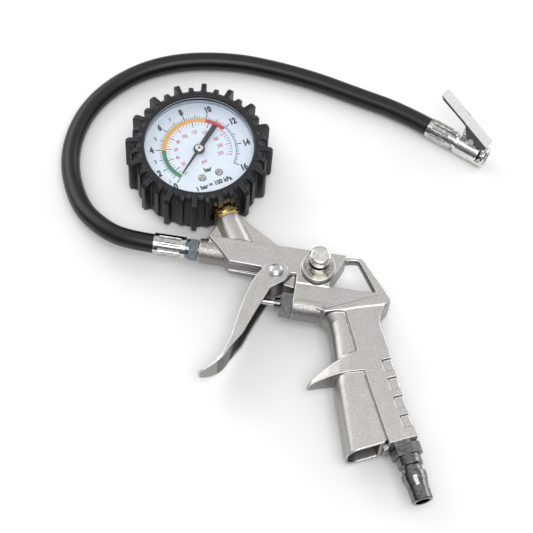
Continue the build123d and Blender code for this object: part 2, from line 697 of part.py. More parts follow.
with BuildPart() as socket_block:
    with BuildSketch(gauge(-5.0)):
        with Locations((0, -21.4)):
            Rectangle(12.0, 15.8)
    extrude(amount=10.4)

with BuildPart() as bourdon_tube:
    ang = math.radians(-74.0)
    with BuildSketch(Plane(origin=gauge(-0.6).from_local_coords((21.0 * math.cos(ang), 21.0 * math.sin(ang), 0)),
                           x_dir=(GC * math.cos(ang) - GS * math.sin(ang), GS * math.cos(ang) + GC * math.sin(ang), 0),
                           z_dir=(-(GS * math.cos(ang) + GC * math.sin(ang)), GC * math.cos(ang) - GS * math.sin(ang), 0))):
        SlotOverall(6.4, 2.3, rotation=90)
        SlotOverall(5.6, 1.5, rotation=90, mode=Mode.SUBTRACT)
    revolve(axis=Axis(gauge(0).origin, (0, 0, 1)), revolution_arc=257.0)

with gauge_socket:
    add(socket_block.part)
    with BuildSketch(stem(STEM_TOP + 11.5)):
        Circle(1.2)
    extrude(amount=30.0, mode=Mode.SUBTRACT)
    # pocket that the tube's root is soldered into
    with BuildSketch(Plane(origin=gauge(-0.6).from_local_coords((21.0 * math.cos(ang), 21.0 * math.sin(ang), 0)),
                           x_dir=(GC * math.cos(ang) - GS * math.sin(ang), GS * math.cos(ang) + GC * math.sin(ang), 0),
                           z_dir=(-(GS * math.cos(ang) + GC * math.sin(ang)), GC * math.cos(ang) - GS * math.sin(ang), 0))):
        SlotOverall(6.4, 2.3, rotation=90)
    revolve(axis=Axis(gauge(0).origin, (0, 0, 1)), revolution_arc=8.0, mode=Mode.SUBTRACT)
    # screw holes for the dial and the movement
    with BuildSketch(gauge(5.4)):
        with Locations((-4.8, -16.3), (4.8, -16.3)):
            Circle(0.8)
    extrude(amount=-3.4, mode=Mode.SUBTRACT)
keep(gauge_socket, "gauge_socket")
keep(bourdon_tube, "bourdon_tube")

# tip of the tube, with the pin that the link hangs on
with BuildPart() as bourdon_tip:
    with BuildSketch(gauge(-3.8)):
        with Locations((-21.0, -3.7)):
            Rectangle(3.4, 5.0)
    extrude(amount=6.4)
    with BuildSketch(gauge(2.6)):
        with Locations((-20.7, -3.6)):
            Circle(0.5)
    extrude(amount=1.6)
keep(bourdon_tip, "bourdon_tip")

SX, SY = -12.04, -8.43           # sector pivot, one centre distance from the arbor
MOD = 0.35
PIN_TEETH, SEC_TEETH = 12, 72
P1, P2 = (9.5, -8.0), (-4.0, 10.0)


def movement_outline():
    with Locations((0, 0)):
        Circle(4.0)
    with Locations((SX, SY)):
        Circle(3.2)
    with Locations(P1, P2):
        Circle(2.6)
    with Locations((-4.8, -16.3), (4.8, -16.3)):
        Circle(2.2)


with BuildPart() as plate_front:
    with BuildSketch(gauge(5.4)):
        movement_outline()
        make_hull()
        Circle(0.56, mode=Mode.SUBTRACT)
        with Locations((SX, SY)):
            Circle(0.66, mode=Mode.SUBTRACT)
        with Locations(P1, P2, (-4.8, -16.3), (4.8, -16.3)):
            Circle(0.8, mode=Mode.SUBTRACT)
    extrude(amount=1.0)
keep(plate_front, "movement_plate_front")

with BuildPart() as plate_rear:
    with BuildSketch(gauge(-1.0)):
        with Locations((0, 0)):
            Circle(4.0)
        with Locations((SX, SY)):
            Circle(3.2)
        with Locations(P1, P2):
            Circle(2.6)
        make_hull()
        Circle(0.56, mode=Mode.SUBTRACT)
        with Locations((SX, SY)):
            Circle(0.66, mode=Mode.SUBTRACT)
    extrude(amount=1.0)
keep(plate_rear, "movement_plate_rear")

with BuildPart() as movement_pillars:
    with BuildSketch(gauge(0.0)):
        with Locations(P1, P2):
            Circle(1.3)
    extrude(amount=5.4)
    with BuildSketch(gauge(5.4)):
        with Locations(P1, P2):
            Circle(0.8)
    extrude(amount=1.0)
    with BuildSketch(gauge(6.4)):
        with Locations(P1, P2):
            Circle(1.3)
    extrude(amount=0.6)
keep(movement_pillars, "movement_pillars")

with BuildPart() as dial_spacers:
    with BuildSketch(gauge(6.4)):
        with Locations((-4.8, -16.3), (4.8, -16.3)):
            Circle(1.8)
            Circle(0.8, mode=Mode.SUBTRACT)
    extrude(amount=DIAL_Z - 6.4)
keep(dial_spacers, "dial_spacers")

with BuildPart() as dial_screws:
    with BuildSketch(gauge(3.0)):
        with Locations((-4.8, -16.3), (4.8, -16.3)):
            Circle(0.8)
    extrude(amount=DIAL_Z + 0.5 - 3.0)
    with BuildSketch(gauge(DIAL_Z + 0.5)):
        with Locations((-4.8, -16.3), (4.8, -16.3)):
            Circle(1.9)
    extrude(amount=0.8)
    fillet(dial_screws.faces().filter_by(Axis.Z).group_by(Axis.Z)[-1].edges(), radius=0.5)
    with BuildSketch(gauge(DIAL_Z + 1.0)):
        with Locations((-4.8, -16.3), (4.8, -16.3)):
            Rectangle(2.4, 0.45, rotation=35)
    extrude(amount=1.0, mode=Mode.SUBTRACT)
keep(dial_screws, "dial_screws")


def involute_tooth(teeth, centre_deg, thin):
    """One tooth's outline about centre_deg: up one flank and down the other."""
    rp = MOD * teeth / 2
    rb = rp * math.cos(math.radians(20))
    ra, rd = rp + 0.75 * MOD, rp - 1.1 * MOD
    inv = math.tan(math.radians(20)) - math.radians(20)
    half = math.pi / (2 * teeth) - thin / (2 * rp)
    flank = []
    lo = max(rb, rd) + 1e-4
    for k in range(4):
        r = lo + (ra - lo) * k / 3
        al = math.acos(min(1.0, rb / r))
        flank.append((r, half + inv - (math.tan(al) - al)))
    pts = []
    c = math.radians(centre_deg)
    if rd < lo - 0.01:
        pts.append((rd, flank[0][1] * 1.02))
    pts += flank
    left = [(r * math.cos(c - a), r * math.sin(c - a)) for r, a in pts]
    right = [(r * math.cos(c + a), r * math.sin(c + a)) for r, a in reversed(pts)]
    return left + right


PHASE = math.degrees(math.atan2(-SY, -SX))      # direction from the sector pivot to the arbor
pin_pts = []
for i in range(PIN_TEETH):
    pin_pts += involute_tooth(PIN_TEETH, PHASE + 180 + (i + 0.5) * 360 / PIN_TEETH, 0.06)
sec_pts = []
n0, n1 = -10, 1
for i in range(n0, n1 + 1):
    sec_pts += involute_tooth(SEC_TEETH, PHASE + i * 360 / SEC_TEETH, 0.06)
a_lo = math.radians(PHASE + (n0 - 0.6) * 5)
a_hi = math.radians(PHASE + (n1 + 0.6) * 5)
R_ROOT = MOD * SEC_TEETH / 2 - 1.1 * MOD
inner = []
for k in range(9):
    a = a_hi + (a_lo - a_hi) * k / 8
    inner.append((10.6 * math.cos(a), 10.6 * math.sin(a)))
sec_ring = ([(R_ROOT * math.cos(a_lo), R_ROOT * math.sin(a_lo))] + sec_pts
            + [(R_ROOT * math.cos(a_hi), R_ROOT * math.sin(a_hi))] + inner)

TX, TY = 5.0 * math.cos(math.radians(75)), 5.0 * math.sin(math.radians(75))
with BuildPart() as sector_gear:
    with BuildSketch(gauge(1.8)):
        with Locations((SX, SY)):
            with BuildLine():
                Polyline(*[(SX + x, SY + y) for x, y in sec_ring], close=True)
            make_face()
            Circle(2.0)
        with BuildLine():
            am = (a_lo + a_hi) / 2
            Polyline((SX + 2.0 * math.cos(am + 1.57), SY + 2.0 * math.sin(am + 1.57)),
                     (SX + 2.0 * math.cos(am - 1.57), SY + 2.0 * math.sin(am - 1.57)),
                     (SX + 11.0 * math.cos(am - 0.2), SY + 11.0 * math.sin(am - 0.2)),
                     (SX + 11.0 * math.cos(am + 0.2), SY + 11.0 * math.sin(am + 0.2)), close=True)
        make_face()
        with BuildLine():
            Polyline((SX - 1.4, SY + 0.6), (SX + 1.6, SY - 0.2), (SX + TX + 1.1, SY + TY - 0.1), (SX + TX - 1.0, SY + TY + 0.4),
                     close=True)
        make_face()
        with Locations((SX + TX, SY + TY)):
            Circle(1.1)
    extrude(amount=1.2)
    with BuildSketch(gauge(-0.9)):
        with Locations((SX, SY)):
            Circle(0.6)
    extrude(amount=7.2)
    with BuildSketch(gauge(3.0)):
        with Locations((SX + TX, SY + TY)):
            Circle(0.45)
    extrude(amount=1.2)
keep(sector_gear, "sector_gear")

with BuildPart() as link:
    LX, LY = SX + TX, SY + TY
    with BuildSketch(gauge(3.3)):
        with BuildLine():
            Polyline((LX, LY + 1.1), (-18.0, -3.6 + 1.9), (-20.7, -3.6 + 1.9), (-20.7, -3.6 - 1.9), (-18.0, -3.6 - 1.9),
                     (LX, LY - 1.1), close=True)
        make_face()
        with Locations((LX, LY)):
            Circle(1.1)
        with Locations((-20.7, -3.6)):
            Circle(1.9)
        with Locations((LX, LY)):
            Circle(0.52, mode=Mode.SUBTRACT)
        with Locations((-18.75, -3.4)):
            SlotOverall(5.9, 2.1, mode=Mode.SUBTRACT)
    extrude(amount=0.5)
keep(link, "gauge_link")

with BuildPart() as pinion_arbor:
    with BuildSketch(gauge(1.4)):
        with BuildLine():
            Polyline(*pin_pts, close=True)
        make_face()
    extrude(amount=2.2)
    with BuildSketch(gauge(-0.9)):
        Circle(0.5)
    extrude(amount=11.9)
keep(pinion_arbor, "pinion_arbor")

spiral_in, spiral_out = [], []
for k in range(61):
    a = math.radians(k * 18)
    r = 1.0 + 3.0 * k / 60
    spiral_in.append(((r - 0.12) * math.cos(a), (r - 0.12) * math.sin(a)))
    spiral_out.append(((r + 0.12) * math.cos(a), (r + 0.12) * math.sin(a)))
with BuildPart() as hairspring:
    with BuildSketch(gauge(4.1)):
        with BuildLine():
            Polyline(*(spiral_out + spiral_in[::-1]), close=True)
        make_face()
    extrude(amount=0.7)
    # stud that holds the outer end under the front plate
    with BuildSketch(gauge(4.1)):
        with Locations((4.0, 0.0)):
            Rectangle(0.9, 0.9)
    extrude(amount=1.3)
keep(hairspring, "hairspring")

# pointer: needle towards zero, broad tail, round middle
ZERO = 20.7                     # clockwise from the part's -Y, degrees


def pointer_xy(along, across):
    a = math.radians(-90 - ZERO)
    return (GAUGE_C[0] + along * math.cos(a) - across * math.sin(a),
            GAUGE_C[1] + along * math.sin(a) + across * math.cos(a))


with BuildPart() as pointer:
    with BuildSketch(level(9.8)):
        with BuildLine():
            Polyline(*[pointer_xy(*p) for p in [(18.0, 0.12), (17.4, 0.28), (3.0, 0.75), (-3.0, 1.3), (-17.2, 1.35), (-17.2, -1.35),
                                                (-3.0, -1.3), (3.0, -0.75), (17.4, -0.28), (18.0, -0.12)]], close=True)
        make_face()
        with Locations((GAUGE_C[0], GAUGE_C[1])):
            Circle(3.0)
        with Locations((GAUGE_C[0], GAUGE_C[1])):
            Circle(0.5, mode=Mode.SUBTRACT)
    extrude(amount=0.5)
keep(pointer, "pointer")

with BuildPart() as pointer_hub:
    with BuildSketch(Plane(origin=at(GAUGE_C[0], GAUGE_C[1], 0), x_dir=(1, 0, 0), z_dir=(0, -1, 0))):
        with BuildLine():
            Polyline((0, 11.0), (0.5, 11.0), (0.5, 10.3), (2.15, 10.3), (2.15, 11.1))
            ThreePointArc((2.15, 11.1), (1.9, 11.45), (1.5, 11.6))
            Polyline((1.5, 11.6), (0.4, 11.6), (0, 11.35), (0, 11.0))
        make_face()
    revolve(axis=Axis(at(GAUGE_C[0], GAUGE_C[1], 0), (0, 0, 1)))
keep(pointer_hub, "pointer_hub")

# ===========================================================================
# HOSE and its ends
# ===========================================================================
pts = [Vector(*at(*p)) for p in ROUTE]
radii = []
for i in range(1, len(pts) - 1):
    u, v = pts[i] - pts[i - 1], pts[i + 1] - pts[i]
    turn = u.get_angle(v)
    radii.append(0.45 * min(u.length, v.length) / math.tan(math.radians(turn) / 2))
print("hose radii", [round(r, 1) for r in radii])
print("hose runs", [round((pts[i + 1] - pts[i]).length, 1) for i in range(len(pts) - 1)])
STUB = 15.0
with BuildPart() as hose_tube:
    with BuildLine() as route_line:
        FilletPolyline(*pts, radius=radii)
    with BuildSketch(Plane(origin=pts[0], z_dir=(pts[1] - pts[0]))):
        Circle(HOSE_R)
        Circle(HOSE_BORE, mode=Mode.SUBTRACT)
    sweep()
    # ends pushed over the barbs inside the ferrules
    with BuildSketch(along_x(ROUTE[0][0], BARREL_Y)):
        Circle(4.9)
        Circle(HOSE_BORE, mode=Mode.SUBTRACT)
    extrude(amount=STUB)
    with BuildSketch(chuck_round(0)):
        Circle(4.9)
        Circle(HOSE_BORE, mode=Mode.SUBTRACT)
    extrude(amount=13.0)
centreline = sum(e.length for e in route_line.line.edges())
print("hose centreline", round(centreline, 1), "volume", round(hose_tube.part.volume, 1), "section x length",
      round(math.pi * (HOSE_R ** 2 - HOSE_BORE ** 2) * centreline
            + math.pi * (4.9 ** 2 - HOSE_BORE ** 2) * (STUB + 13.0), 1))
keep(hose_tube, "hose_tube")

FER_X = ROUTE[0][0]
with BuildPart() as ferrule_gun:
    with BuildSketch(along_x(FER_X, BARREL_Y)):
        Circle(5.9)
        Circle(4.9, mode=Mode.SUBTRACT)
    extrude(amount=STUB)
    with BuildSketch(along_x(FER_X + STUB, BARREL_Y)):
        Circle(5.9)
        Circle(3.4, mode=Mode.SUBTRACT)
    extrude(amount=2.0)
    # crimp flutes
    with BuildSketch(along_x(FER_X + 2.6, BARREL_Y)):
        with PolarLocations(6.75, 10):
            Circle(1.25)
    extrude(amount=STUB - 3.4, mode=Mode.SUBTRACT)
keep(ferrule_gun, "ferrule_gun_end")

with BuildPart() as fitting_gun:
    with BuildSketch(Plane(origin=at(0, BARREL_Y, 0), x_dir=(1, 0, 0), z_dir=(0, 0, 1))):
        with BuildLine():
            Polyline((FER_X + 2.0, 0), (FER_X + 2.0, 2.6), (FER_X + 3.4, 3.0), (FER_X + STUB, 3.0), (FER_X + STUB, 3.4),
                     (FER_X + 17.4, 3.4), (FER_X + 17.4, 5.2), (-47.2, 5.2), (-47.2, 4.0), (-42.4, 4.0), (-42.4, 4.4),
                     (NOSE_X, 4.4), (-32.8, 4.4), (-32.2, 3.8), (-32.2, 0), close=True)
        make_face()
    revolve(axis=Axis(at(0, BARREL_Y, 0), (1, 0, 0)))
    with BuildSketch(along_x(-47.2, BARREL_Y)):
        RegularPolygon(radius=6.35, side_count=6, rotation=0)
    extrude(amount=4.9)
    with BuildSketch(along_x(-47.5, BARREL_Y)):
        Circle(7.5)
        Circle(6.0, mode=Mode.SUBTRACT)
    extrude(amount=0.7, mode=Mode.SUBTRACT)
    with BuildSketch(along_x(FER_X, BARREL_Y)):
        Circle(1.7)
    extrude(amount=40, mode=Mode.SUBTRACT)
keep(fitting_gun, "hose_fitting_gun_end")

with BuildPart() as ferrule_chuck:
    with BuildSketch(chuck_round(0)):
        Circle(5.8)
        Circle(4.9, mode=Mode.SUBTRACT)
    extrude(amount=13.0)
    with BuildSketch(chuck_round(13.0)):
        Circle(5.6)
        Circle(3.4, mode=Mode.SUBTRACT)
    extrude(amount=3.2)
    with BuildSketch(chuck_round(2.4)):
        with PolarLocations(6.6, 10):
            Circle(1.2)
    extrude(amount=10.2, mode=Mode.SUBTRACT)
keep(ferrule_chuck, "ferrule_chuck_end")

with BuildPart() as fitting_chuck:
    with BuildSketch(chuck_round(2.0)):
        Circle(3.0)
    extrude(amount=11.0)
    with BuildSketch(chuck_round(13.0)):
        Circle(3.4)
    extrude(amount=3.2)
    with BuildSketch(chuck_round(16.2)):
        Circle(4.3)
    extrude(amount=1.0)
    with BuildSketch(chuck_round(17.2)):
        Circle(3.6)
    extrude(amount=4.5)
    with BuildSketch(chuck_round(0)):
        Circle(1.6)
    extrude(amount=25, mode=Mode.SUBTRACT)
keep(fitting_chuck, "hose_fitting_chuck_end")

# ===========================================================================
# CHUCK
# ===========================================================================
CK0, CK1 = 17.2, 36.2
PIV_T, PIV_N = 25.6, 8.1
with BuildPart() as chuck_body:
    with BuildSketch(chuck_round(CK0)):
        Circle(5.3)
    with BuildSketch(chuck_round(CK0 + 1.4)):
        Circle(CHUCK_R)
    loft()
    with BuildSketch(chuck_round(CK0 + 1.4)):
        Circle(CHUCK_R)
    extrude(amount=CK1 - CK0 - 2.2)
    with BuildSketch(chuck_round(CK1 - 0.8)):
        Circle(CHUCK_R)
    with BuildSketch(chuck_round(CK1)):
        Circle(5.3)
    loft()
    # lug that carries the lever's pin
    with BuildSketch(chuck_side(-3.4)):
        with BuildLine():
            Polyline((22.9, 3.0), (22.9, 8.1), (28.3, 8.1), (29.4, 3.0), close=True)
        make_face()
        with Locations((PIV_T, PIV_N)):
            Circle(2.7)
    extrude(amount=6.8)
    # flat for the spring
    with BuildSketch(chuck_up(20.6, 4.8)):
        Rectangle(4.4, 9)
    extrude(amount=3, mode=Mode.SUBTRACT)
    # valve mouth, pocket for the seal, seat of the probe and air way
    with BuildSketch(chuck_round(CK1 - VALVE_BORE_L)):
        Circle(VALVE_BORE_R)
    extrude(amount=20, mode=Mode.SUBTRACT)
    with BuildSketch(chuck_round(23.3)):
        Circle(4.9)
    extrude(amount=CK1 - VALVE_BORE_L - 23.3, mode=Mode.SUBTRACT)
    with BuildSketch(chuck_round(22.0)):
        Circle(3.9)
    extrude(amount=1.5, mode=Mode.SUBTRACT)
    with BuildSketch(chuck_round(CK0)):
        Circle(3.6)
    extrude(amount=4.5, mode=Mode.SUBTRACT)
    with BuildSketch(chuck_round(CK0)):
        Circle(1.6)
    extrude(amount=10, mode=Mode.SUBTRACT)
    # pivot hole
    with BuildSketch(chuck_side(-6)):
        with Locations((PIV_T, PIV_N)):
            Circle(1.0)
    extrude(amount=12, mode=Mode.SUBTRACT)
    # slot for the claw
    with BuildSketch(chuck_side(-8)):
        with Locations((32.85, 3.0)):
            Rectangle(2.9, 9.0)
    extrude(amount=16, mode=Mode.SUBTRACT)
keep(chuck_body, "chuck_body")

with BuildPart() as chuck_probe:
    with BuildSketch(chuck_round(22.0)):
        Circle(3.9)
        with PolarLocations(2.6, 4):
            Circle(0.7, mode=Mode.SUBTRACT)
    extrude(amount=1.3)
    with BuildSketch(chuck_round(23.3)):
        Circle(0.9)
    extrude(amount=2.3)
keep(chuck_probe, "chuck_probe")

with BuildPart() as chuck_seal:
    with BuildSketch(chuck_round(23.35)):
        Circle(4.85)
        Circle(2.2, mode=Mode.SUBTRACT)
    extrude(amount=2.35)
keep(chuck_seal, "chuck_seal")

with BuildPart() as chuck_lever:
    # cheeks
    for w0 in (3.7, -4.7):
        with BuildSketch(chuck_side(w0)):
            with BuildLine():
                Polyline((18.2, 17.0), (21.6, 10.2), (23.4, 7.0), (25.6, 5.9), (34.2, 6.9), (34.6, 8.3), (33.9, 8.9), close=True)
            make_face()
            with BuildLine():
                Polyline((18.2, 17.2), (1.8, 24.7), (1.8, 23.4), (18.6, 15.7), close=True)
            make_face()
        extrude(amount=1.0)
    # back plate from the thumb end to the front
    with BuildSketch(chuck_side(-4.7)):
        with BuildLine():
            Polyline((0.6, 25.6), (0.2, 24.5), (33.4, 8.2), (34.4, 8.2), (34.5, 9.3), (33.6, 9.5), close=True)
        make_face()
    extrude(amount=9.4)
    # claw that drops through the slot
    with BuildSketch(chuck_side(-3.5)):
        with BuildLine():
            Polyline((31.6, 9.3), (31.6, 3.6), (32.7, 3.2), (32.7, 9.0), close=True)
        make_face()
    extrude(amount=7.0)
    # room for the valve between the claw's two prongs
    with BuildSketch(chuck_round(31.0)):
        Circle(3.92)
    extrude(amount=2.4, mode=Mode.SUBTRACT)
    with BuildSketch(chuck_side(-6)):
        with Locations((PIV_T, PIV_N)):
            Circle(1.05)
    extrude(amount=12, mode=Mode.SUBTRACT)
    # rounded thumb end
    with BuildSketch(chuck_up(0, 15)):
        with BuildLine():
            Polyline((-1, 6), (-1, 0), (0.1, 0), (0.3, 2.6), (1.0, 4.1), (2.2, 4.72), (2.2, 6), close=True)
        make_face()
        mirror(about=Plane.XZ)
    extrude(amount=20, mode=Mode.SUBTRACT)
keep(chuck_lever, "chuck_lever")

with BuildPart() as chuck_lever_pin:
    with BuildSketch(chuck_side(-5.5)):
        with Locations((PIV_T, PIV_N)):
            Circle(1.0)
    extrude(amount=11.0)
    with BuildSketch(chuck_side(4.8)):
        with Locations((PIV_T, PIV_N)):
            Circle(1.8)
    extrude(amount=0.8)
    with BuildSketch(chuck_side(-5.6)):
        with Locations((PIV_T, PIV_N)):
            Circle(1.8)
    extrude(amount=0.8)
keep(chuck_lever_pin, "chuck_lever_pin")

with BuildPart() as chuck_spring:
    add(coil(chuck_up(20.6, 4.82), 5, 8.5, 1.7, 0.6))
keep(chuck_spring, "chuck_lever_spring")
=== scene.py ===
import json
import math

import bmesh
import bpy
from mathutils import Matrix, Vector


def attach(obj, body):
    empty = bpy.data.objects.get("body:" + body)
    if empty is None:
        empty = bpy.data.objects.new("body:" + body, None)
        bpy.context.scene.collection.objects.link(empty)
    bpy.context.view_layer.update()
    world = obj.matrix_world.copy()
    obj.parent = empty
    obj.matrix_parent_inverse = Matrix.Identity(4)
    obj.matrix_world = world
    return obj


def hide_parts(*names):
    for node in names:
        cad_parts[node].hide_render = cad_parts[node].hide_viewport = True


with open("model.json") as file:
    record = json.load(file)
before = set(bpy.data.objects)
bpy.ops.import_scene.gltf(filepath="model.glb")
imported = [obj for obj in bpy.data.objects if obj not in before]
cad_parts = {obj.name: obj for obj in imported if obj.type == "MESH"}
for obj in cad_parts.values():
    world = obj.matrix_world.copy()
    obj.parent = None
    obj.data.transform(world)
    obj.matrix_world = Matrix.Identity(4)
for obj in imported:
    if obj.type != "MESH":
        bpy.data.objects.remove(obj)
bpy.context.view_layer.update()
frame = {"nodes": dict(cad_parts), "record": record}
NODES = frame["nodes"]
scene = bpy.context.scene
coll = scene.collection
MM = 0.001

# ---------------------------------------------------------------------------
# frames of the object, in millimetres about the trigger pin
# ---------------------------------------------------------------------------
PIN = Vector((-1.786, 2.652, 14.2))
GAUGE_C = Vector((-51.0, 65.6, 0.0))
GL = math.radians(31.3)
GC, GS = math.cos(GL), math.sin(GL)
GAUGE = Matrix.Translation((PIN + GAUGE_C) * MM) @ Matrix(((GC, -GS, 0, 0), (GS, GC, 0, 0), (0, 0, 1, 0), (0, 0, 0, 1)))


def P(x, y, z=0.0):
    return (PIN + Vector((x, y, z))) * MM


# ---------------------------------------------------------------------------
# camera
# ---------------------------------------------------------------------------
cam_data = bpy.data.cameras.new("camera")
cam = bpy.data.objects.new("camera", cam_data)
coll.objects.link(cam)
R = Vector((0.988516, 0.143739, 0.046640)).normalized()
B = Vector((0.022575, -0.445628, 0.894934))
B = (B - R * B.dot(R)).normalized()
U = B.cross(R)
M = Matrix((R, U, B)).transposed().to_4x4()
M.translation = (PIN + Vector((14.12, -379.10, 775.16))) * MM
cam.matrix_world = M
cam_data.sensor_fit = "HORIZONTAL"
cam_data.sensor_width = 36.0
cam_data.lens = 111.26
cam_data.clip_start = 0.02
cam_data.clip_end = 20.0
scene.camera = cam


# ---------------------------------------------------------------------------
# node helpers
# ---------------------------------------------------------------------------
class Mat:
    def __init__(self, name):
        self.m = bpy.data.materials.new(name)
        self.m.use_nodes = True
        self.t = self.m.node_tree
        self.bsdf = self.t.nodes["Principled BSDF"]
        self.out = self.t.nodes["Material Output"]
        tc = self.t.nodes.new("ShaderNodeTexCoord")
        mp = self.t.nodes.new("ShaderNodeMapping")
        mp.inputs["Scale"].default_value = (1000, 1000, 1000)
        self.t.links.new(tc.outputs["Object"], mp.inputs["Vector"])
        self.mm = mp.outputs["Vector"]

    def set(self, **kw):
        for k, v in kw.items():
            self.bsdf.inputs[k.replace("_", " ")].default_value = v
        return self

    def noise(self, scale, detail=3.0, rough=0.55, vec=None, distortion=0.0):
        n = self.t.nodes.new("ShaderNodeTexNoise")
        n.inputs["Scale"].default_value = scale
        n.inputs["Detail"].default_value = detail
        n.inputs["Roughness"].default_value = rough
        n.inputs["Distortion"].default_value = distortion
        self.t.links.new(vec or self.mm, n.inputs["Vector"])
        return n.outputs["Fac"]

    def voronoi(self, scale, feature="F1", vec=None, out="Distance"):
        n = self.t.nodes.new("ShaderNodeTexVoronoi")
        n.feature = feature
        n.inputs["Scale"].default_value = scale
        self.t.links.new(vec or self.mm, n.inputs["Vector"])
        return n.outputs[out]

    def ramp(self, fac, *stops, interp="LINEAR"):
        n = self.t.nodes.new("ShaderNodeValToRGB")
        n.color_ramp.interpolation = interp
        e = n.color_ramp.elements
        while len(e) > 1:
            e.remove(e[-1])
        e[0].position, c = stops[0][0], stops[0][1]
        e[0].color = c if len(c) == 4 else (*c, 1)
        for p, c in stops[1:]:
            x = e.new(p)
            x.color = c if len(c) == 4 else (*c, 1)
        self.t.links.new(fac, n.inputs["Fac"])
        return n.outputs["Color"]

    def maprange(self, fac, a, b, c, d):
        n = self.t.nodes.new("ShaderNodeMapRange")
        for i, v in enumerate((a, b, c, d)):
            n.inputs[i + 1].default_value = v
        self.t.links.new(fac, n.inputs[0])
        return n.outputs[0]

    def math(self, op, a, b=None, clamp=False):
        n = self.t.nodes.new("ShaderNodeMath")
        n.operation = op
        n.use_clamp = clamp
        for i, v in enumerate((a, b)):
            if v is None:
                continue
            if isinstance(v, (int, float)):
                n.inputs[i].default_value = v
            else:
                self.t.links.new(v, n.inputs[i])
        return n.outputs[0]

    def mix(self, fac, a, b, kind="MIX"):
        n = self.t.nodes.new("ShaderNodeMix")
        n.data_type = "RGBA"
        n.blend_type = kind
        n.clamp_factor = True
        for i, v in ((0, fac), (6, a), (7, b)):
            if isinstance(v, (int, float)):
                n.inputs[i].default_value = v
            elif isinstance(v, (tuple, list)):
                n.inputs[i].default_value = v if len(v) == 4 else (*v, 1)
            else:
                self.t.links.new(v, n.inputs[i])
        return n.outputs[2]

    def pointiness(self):
        return self.t.nodes.new("ShaderNodeNewGeometry").outputs["Pointiness"]

    def link(self, out, socket):
        self.t.links.new(out, self.bsdf.inputs[socket])
        return self

    def bump(self, height, distance, strength=1.0, edge=0.0):
        n = self.t.nodes.new("ShaderNodeBump")
        n.inputs["Distance"].default_value = distance * MM
        n.inputs["Strength"].default_value = strength
        self.t.links.new(height, n.inputs["Height"])
        if edge:
            b = self.t.nodes.new("ShaderNodeBevel")
            b.samples = 6
            b.inputs["Radius"].default_value = edge * MM
            self.t.links.new(b.outputs["Normal"], n.inputs["Normal"])
        self.t.links.new(n.outputs["Normal"], self.bsdf.inputs["Normal"])
        return self


def cast_metal(name, base, rough, wear_and_highlight):
    """Blasted die-cast aluminium. A mesh attribute marks the rough unblasted skin on the nose and chamber, coarsely
    speckled and darkened partly as painted shade; side faces, creases and the trigger's channel are darkened as painted
    shade, and edges are lightened partly as wear, partly as painted highlight.
    """
    m = Mat(name).set(Metallic=1.0)
    grain = m.noise(1.35, 5.0, 0.72)
    fine = m.noise(4.5, 2.0, 0.6)
    # painted shade: faces that stand on their side are darkened by their object-space normal
    nrm = m.t.nodes.new("ShaderNodeSeparateXYZ")
    m.t.links.new(m.t.nodes.new("ShaderNodeTexCoord").outputs["Normal"], nrm.inputs[0])
    painted_side_shade = m.maprange(m.math("ABSOLUTE", nrm.outputs["Z"]), 0.15, 0.80, 1.0, 0.0)
    blotch = m.noise(0.13, 4.0, 0.6)
    coarse = m.noise(1.15, 6.0, 0.75)
    at = m.t.nodes.new("ShaderNodeAttribute")
    at.attribute_name = "rough_skin_and_shade"
    skin_and_shade = at.outputs["Fac"]
    lo = tuple(c * 0.80 for c in base)
    hi = tuple(min(1, c * 1.16) for c in base)
    c1 = m.ramp(grain, (0.36, lo), (0.64, hi))
    c2 = m.mix(m.maprange(blotch, 0.38, 0.66, 0.0, 0.30), c1, tuple(c * f for c, f in zip(base, (0.84, 0.82, 0.80))))
    # coarse speckle on the rough skin; its darker average is partly painted shade on the curved nose and chamber
    speck = m.ramp(coarse, (0.36, tuple(c * 0.30 for c in base)), (0.47, tuple(c * 0.62 for c in base)),
                   (0.56, tuple(c * 0.80 for c in base)), (0.68, tuple(min(1, c * 1.45) for c in base)))
    c2 = m.mix(m.math("MULTIPLY", skin_and_shade, 0.95), c2, speck)
    # painted shade on the side faces
    c2 = m.mix(m.math("MULTIPLY", painted_side_shade, 0.85), c2, tuple(c * 0.50 for c in base))
    # painted shade: the faces inside the trigger's channel are darkened
    at2 = m.t.nodes.new("ShaderNodeAttribute")
    at2.attribute_name = "channel_painted_shade"
    c2 = m.mix(at2.outputs["Fac"], c2, tuple(c * 0.20 for c in base))
    # painted shade: hollows and creases, found by low pointiness, are darkened
    painted_crease_shade = m.maprange(m.pointiness(), 0.44, 0.495, 1.0, 0.0)
    c3 = m.mix(m.math("MULTIPLY", painted_crease_shade, 0.6), c2, tuple(c * 0.30 for c in base))
    # edges lightened by pointiness, partly wear and partly painted highlight
    edge = m.maprange(m.pointiness(), 0.508, 0.56, 0.0, 1.0)
    c4 = m.mix(m.math("MULTIPLY", edge, 0.8), c3, wear_and_highlight)
    m.link(c4, "Base Color")
    r = m.maprange(grain, 0.25, 0.75, rough - 0.06, rough + 0.08)
    r = m.math("ADD", r, m.math("MULTIPLY", skin_and_shade, 0.05))
    m.link(m.math("SUBTRACT", r, m.math("MULTIPLY", edge, 0.14)), "Roughness")
    h = m.math("ADD", m.math("MULTIPLY", grain, 0.8), m.math("MULTIPLY", fine, 0.25))
    h = m.math("ADD", h, m.math("MULTIPLY", m.math("MULTIPLY", coarse, skin_and_shade), 3.0))
    m.bump(h, 0.09, 0.55)
    return m.m


